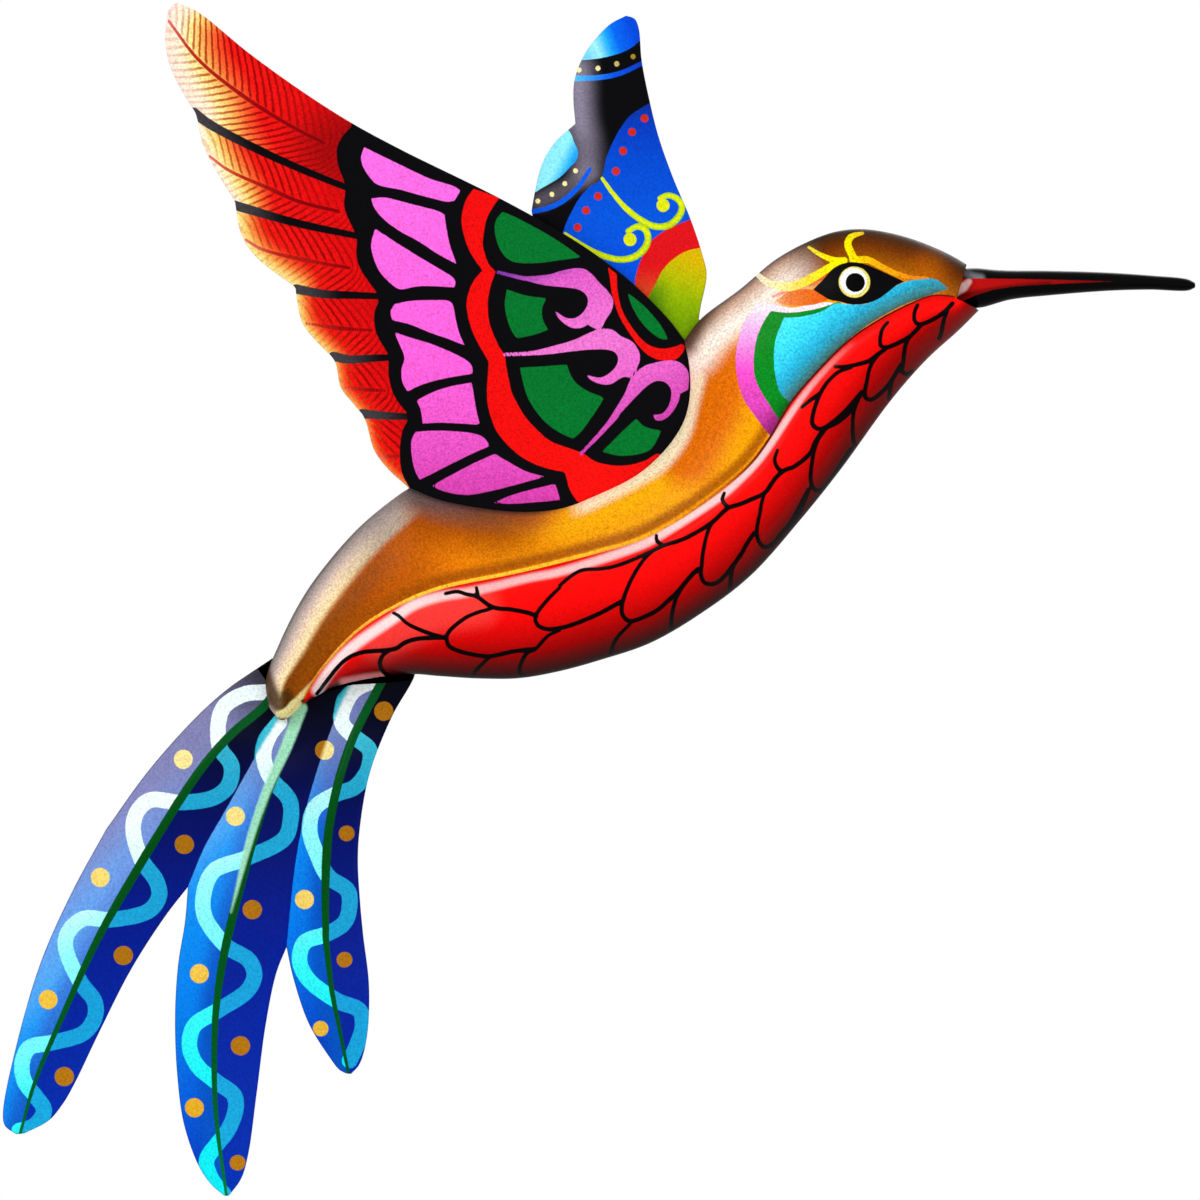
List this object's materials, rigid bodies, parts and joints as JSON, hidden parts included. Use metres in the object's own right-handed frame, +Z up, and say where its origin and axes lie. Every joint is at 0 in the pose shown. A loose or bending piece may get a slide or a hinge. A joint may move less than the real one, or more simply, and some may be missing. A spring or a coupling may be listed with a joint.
{
  "type": "hummingbird wall ornament",
  "caption": "Painted pressed-metal hummingbird in flight that hangs flat on a wall: domed body, red breast, long straight beak, raised wings and a forked tail.",
  "frame": {"origin": "on the wall plane, on the axis of the nail that the bird hangs on, where the nail rests in the top of the keyhole slot of the rear strap", "axes": "+Z up, -Y out of the wall towards the viewer, +Y into the wall, +X to the right seen from the front, the way the beak points"},
  "size_m": [0.2975, 0.0208, 0.297],
  "materials": {
    "body_shell": "airbrushed gold to brown enamel, semi-gloss clear coat",
    "breast_panel": "red enamel shaded to dark crimson, fine black scale lines, gloss clear coat",
    "beak": "red enamel with black edges, gloss",
    "back_plate": "matt black",
    "near_wing": "red, yellow, pink and green enamel on black, satin",
    "far_wing": "royal blue and black enamel, satin",
    "tail_fan": "blue shaded enamel with pale wave bands, satin",
    "hanger_strap": "plain zinc-plated steel strip",
    "rivets": "plain mill finish"
  },
  "bodies": {
    "root": {"body_shell": "body_shell", "breast_panel": "breast_panel", "beak": "beak", "back_plate": "back_plate", "near_wing": "near_wing", "far_wing": "far_wing", "tail_fan": "tail_fan", "hanger_strap": "hanger_strap", "near_wing_rivet_1": "rivets", "near_wing_rivet_2": "rivets", "near_wing_rivet_3": "rivets", "far_wing_rivet_1": "rivets", "far_wing_rivet_2": "rivets", "tail_rivet_1": "rivets", "tail_rivet_2": "rivets", "tail_rivet_3": "rivets", "beak_rivet_1": "rivets", "beak_rivet_2": "rivets", "hanger_strap_rivet_1": "rivets", "hanger_strap_rivet_2": "rivets"}
  },
  "joints": []
}
